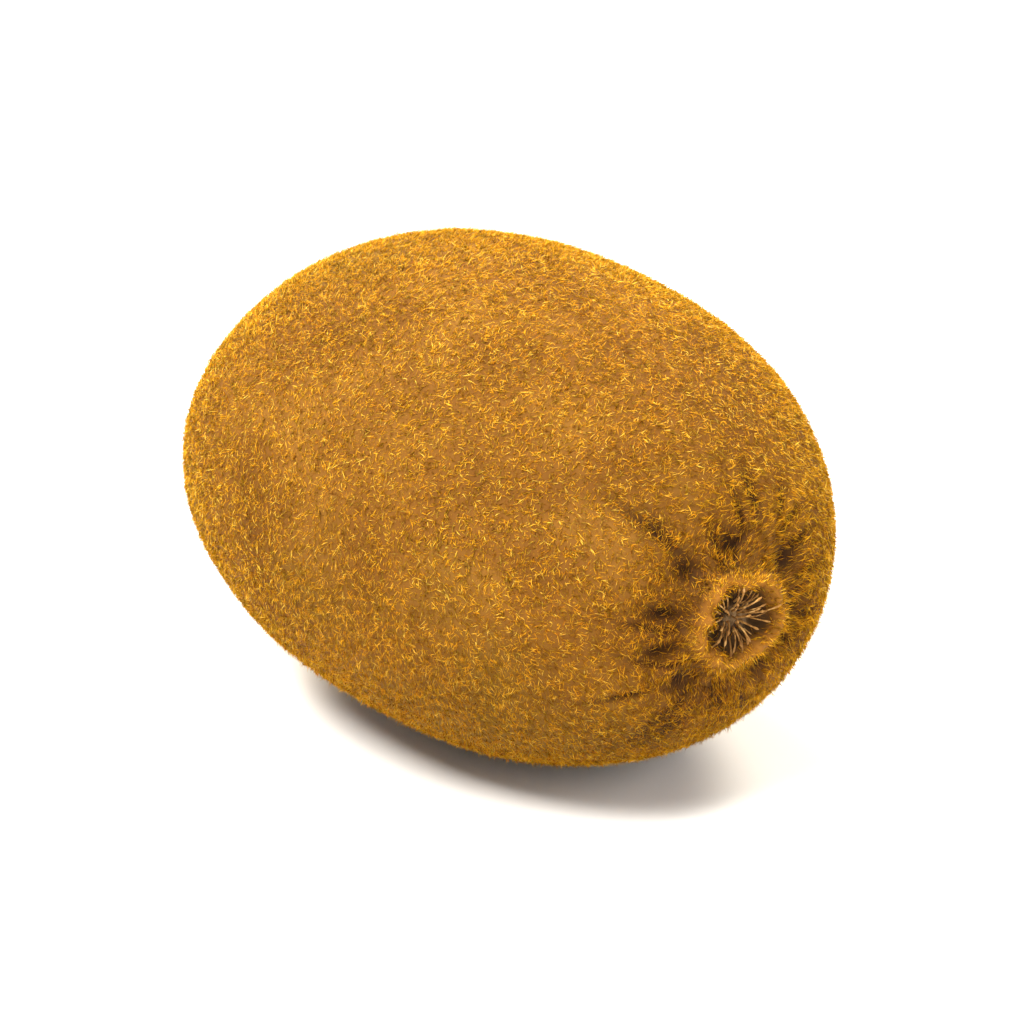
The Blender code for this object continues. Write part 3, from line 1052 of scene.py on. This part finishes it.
def fuzzMaterial():
    material, nodes, links, shader = newMaterial("kiwiFuzz")
    where = nodes.new("ShaderNodeTexCoord")
    paint = fuzzColours
    colour = addRamp(nodes, links, addAttribute(nodes, "shade"), paint["tints"])
    for name, pattern in fuzzPattern.items():
        colour = addPatches(nodes, links, where, colour, paint[name], *pattern)
    root = addRamp(nodes, links, addAttribute(nodes, "upHair"), rootShade)
    colour = addMix(nodes, links, 1.0, colour, root, "MULTIPLY")
    links.new(colour, shader.inputs["Base Color"])
    setSurface(shader, "fuzz")
    return material


driedColours = {  # in the hollows, on most of it, on its raised fibres, and in its dark patches
    "styles": ((0.100, 0.042, 0.010), (0.280, 0.135, 0.035), (0.560, 0.330, 0.115), (0.120, 0.052, 0.014)),
    "stalk": ((0.022, 0.010, 0.003), (0.100, 0.046, 0.014), (0.300, 0.170, 0.062), (0.045, 0.019, 0.006)),
}


driedPattern = {
    "grain": (1400, 5, 0.7, 0.00008),
    "tintPlaces": (0.35, 0.52, 0.70),
    "dark": (420, 2, (0.45, 0), (0.65, 0.6)),
    "veins": ((0.05, 0.60), (0.85, 1.0)),
}


def driedMaterial(name):
    material, nodes, links, shader = newMaterial(name)
    where = nodes.new("ShaderNodeTexCoord")
    it = driedPattern
    fibres = addGrain(nodes, links, where, shader, *it["grain"])
    *tints, dark = driedColours[name]
    colour = addRamp(nodes, links, fibres, tuple(zip(it["tintPlaces"], tints)))
    colour = addPatches(nodes, links, where, colour, dark, *it["dark"])
    if name == "stalk":
        veins = addRamp(nodes, links, addAttribute(nodes, "vein"), it["veins"])
        colour = addMix(nodes, links, 1.0, colour, veins, "MULTIPLY")
    links.new(colour, shader.inputs["Base Color"])
    setSurface(shader, "dried")
    return material


# Studio

studio = {
    "azimuth": 53.0,
    "elevation": 24.4,
    "lens": 200.0,
    "distance": 0.545,
    "aim": (0.0005, 0.0, 0.0215),
    "nearest": 0.01,  # what is closer to the camera isn't drawn
    "floorSize": 8.0,
    "floorGlow": ((0.3, 0.0), (1.0, (0.54, 0.54, 0.53))),  # distances from the fruit, in metres
    "airLight": 0.50,  # the backdrop looks brighter than it lights
    "airLooks": 0.97,
    "airColour": (1.0, 0.99, 0.97, 1),
    "lamps": {  # degrees from the camera, degrees up, distance, size, watts and colour
        "keyLamp": (-38, 58, 0.7, 0.30, 12.5, (1.0, 0.97, 0.92)),
        "leftRim": (-150, 38, 0.7, 0.30, 6.0, (1.0, 0.92, 0.78)),
        "rightRim": (145, 42, 0.7, 0.30, 6.0, (1.0, 0.92, 0.78)),
        "fillLamp": (60, 25, 0.8, 0.50, 3.0, (1.0, 1.0, 1.0)),
    },
}


def lookFrom(azimuth, elevation):  # the way from the fruit to a lamp or the camera
    turn, rise = math.radians(azimuth), math.radians(elevation)
    return Vector((math.sin(turn) * math.cos(rise), -math.cos(turn) * math.cos(rise), math.sin(rise)))


def addLamp(name, turn, elevation, distance, size, power, colour):
    away = lookFrom(studio["azimuth"] + turn, elevation)
    bpy.ops.object.light_add(type="AREA", location=away * distance)
    lamp = bpy.context.object
    lamp.name = name
    lamp.rotation_euler = away.to_track_quat("Z", "Y").to_euler()
    lamp.data.energy = power
    lamp.data.size = size
    lamp.data.color = colour


def makeFloor():
    deselectAll()
    bpy.ops.mesh.primitive_plane_add(size=studio["floorSize"])
    floor = bpy.context.object
    floor.name = "floor"
    material, nodes, links, shader = newMaterial("paleFloor")
    setSurface(shader, "floor")
    where = nodes.new("ShaderNodeTexCoord")
    away = nodes.new("ShaderNodeVectorMath")  # distance from the fruit
    away.operation = "LENGTH"
    links.new(where.outputs["Object"], away.inputs[0])
    glow = addRamp(nodes, links, away.outputs["Value"], studio["floorGlow"])
    links.new(glow, shader.inputs["Emission Color"])  # so that it stays as pale far from the lamps
    floor.data.materials.append(material)


def makeAir():
    world = bpy.data.worlds.new("studioAir")
    bpy.context.scene.world = world
    world.use_nodes = True
    tree = world.node_tree
    seen = tree.nodes.new("ShaderNodeLightPath")
    strength = tree.nodes.new("ShaderNodeMapRange")
    strength.inputs["To Min"].default_value = studio["airLight"]
    strength.inputs["To Max"].default_value = studio["airLooks"]
    tree.links.new(seen.outputs["Is Camera Ray"], strength.inputs["Value"])
    air = tree.nodes["Background"]
    air.inputs["Color"].default_value = studio["airColour"]
    tree.links.new(strength.outputs["Result"], air.inputs["Strength"])


def makeCamera():
    away = lookFrom(studio["azimuth"], studio["elevation"])
    bpy.ops.object.camera_add(location=Vector(studio["aim"]) + away * studio["distance"])
    camera = bpy.context.object
    camera.rotation_euler = away.to_track_quat("Z", "Y").to_euler()
    camera.data.lens = studio["lens"]
    camera.data.clip_start = studio["nearest"]
    bpy.context.scene.camera = camera
    bpy.context.scene.view_settings.view_transform = "Standard"


makeFloor()
makeAir()
for name, values in studio["lamps"].items():
    addLamp(name, *values)
makeCamera()
print("studio made")
makePatches()
makeGrain()
skin, ends = makeSkin()
finishPiece(skin, skinMaterial())
print("skin made", len(skin.data.polygons), "faces")
makeStyles(skin, ends, driedMaterial("styles"))
stalkMatter = driedMaterial("stalk")
makeScar(skin, ends, stalkMatter)
makeSepals(skin, ends, stalkMatter)
print("dried styles, stalk scar and sepals made")
makeFuzz(skin, ends, fuzzMaterial())
